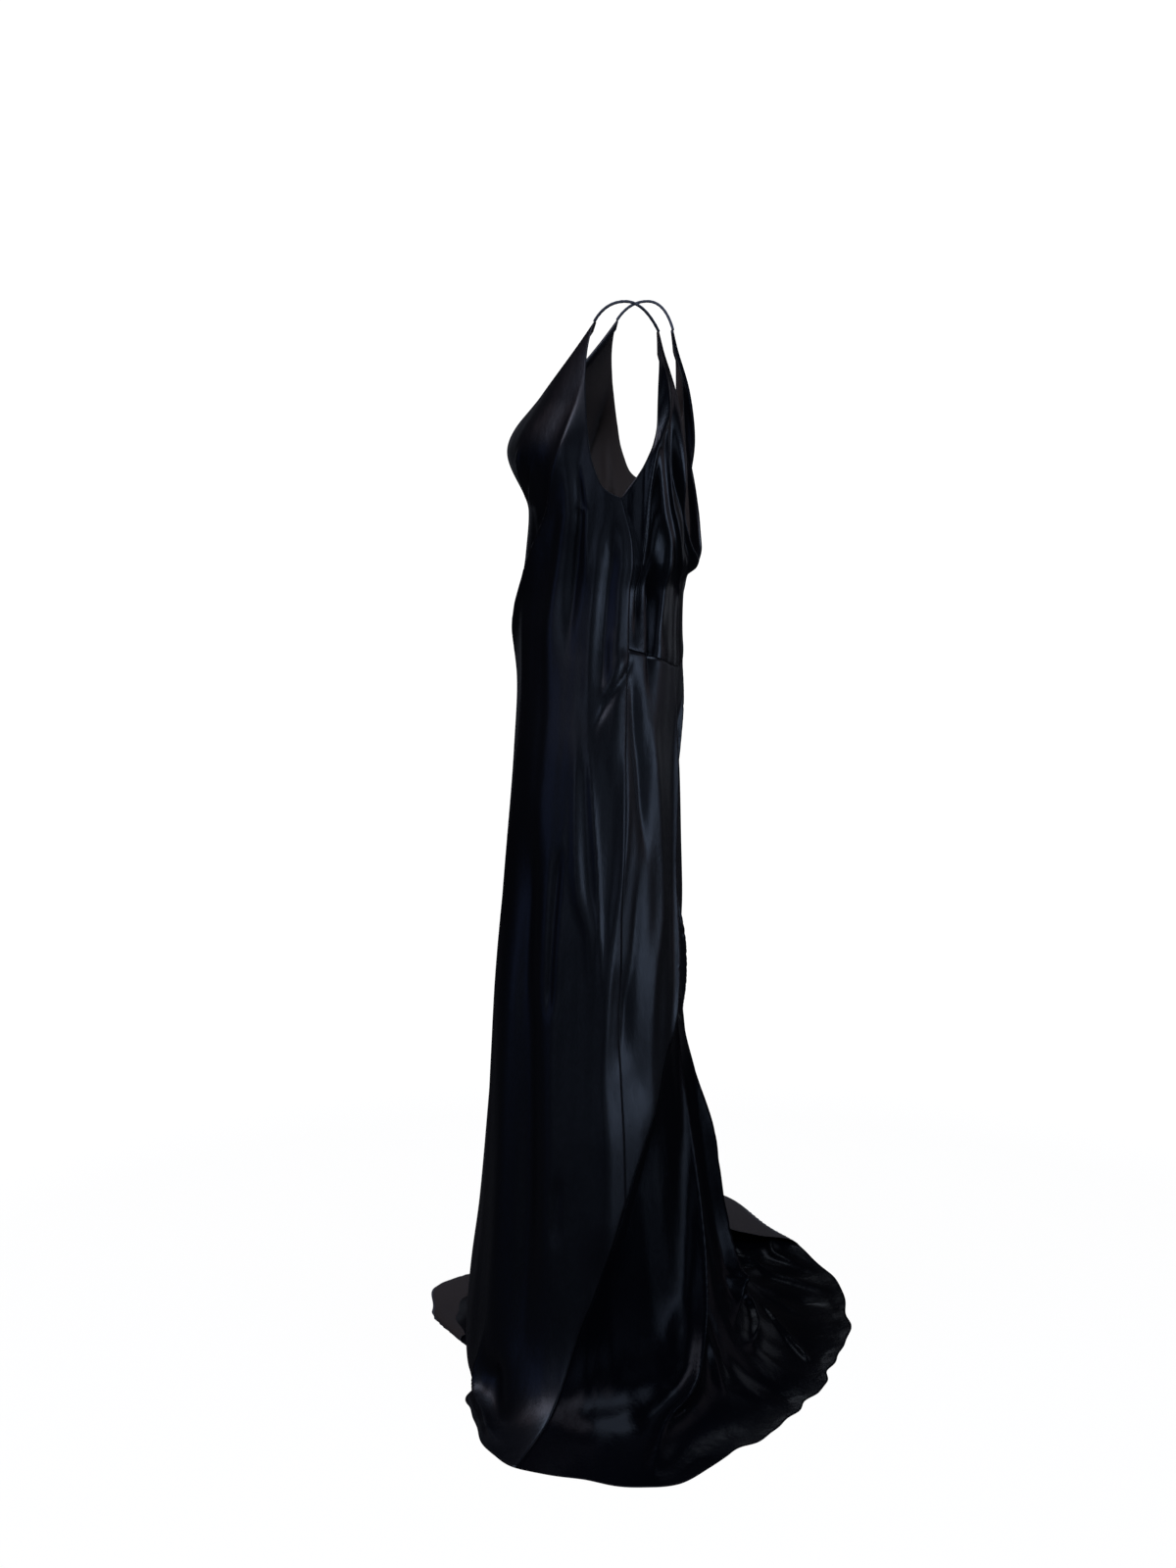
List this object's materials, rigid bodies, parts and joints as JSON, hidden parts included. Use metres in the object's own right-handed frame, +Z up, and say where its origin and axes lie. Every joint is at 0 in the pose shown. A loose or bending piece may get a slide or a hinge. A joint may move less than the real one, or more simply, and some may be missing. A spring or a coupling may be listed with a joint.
{
  "type": "evening gown",
  "caption": "Floor-length bias-cut evening gown in black silk satin, on thin shoulder straps, with a V neck, a deep cowl back, a low back yoke seam and a train that sweeps onto the floor",
  "frame": {"origin": "The mount on_shoulders, midway between the tops of the two shoulder straps, where the wearer's shoulders carry the gown.", "axes": "+Z is up, towards the wearer's head, and is the gown's longest extent. -Y is the front, and +X is the wearer's left."},
  "size_m": [0.896, 0.6394, 1.4999],
  "materials": {
    "satin": "black silk satin, glossy face, dull reverse",
    "strap_satin": "rolled black satin cord"
  },
  "bodies": {
    "root": {"front": "satin", "back_bodice": "satin", "back_skirt": "satin", "train": "satin", "strap_left": "strap_satin", "strap_right": "strap_satin"}
  },
  "joints": []
}
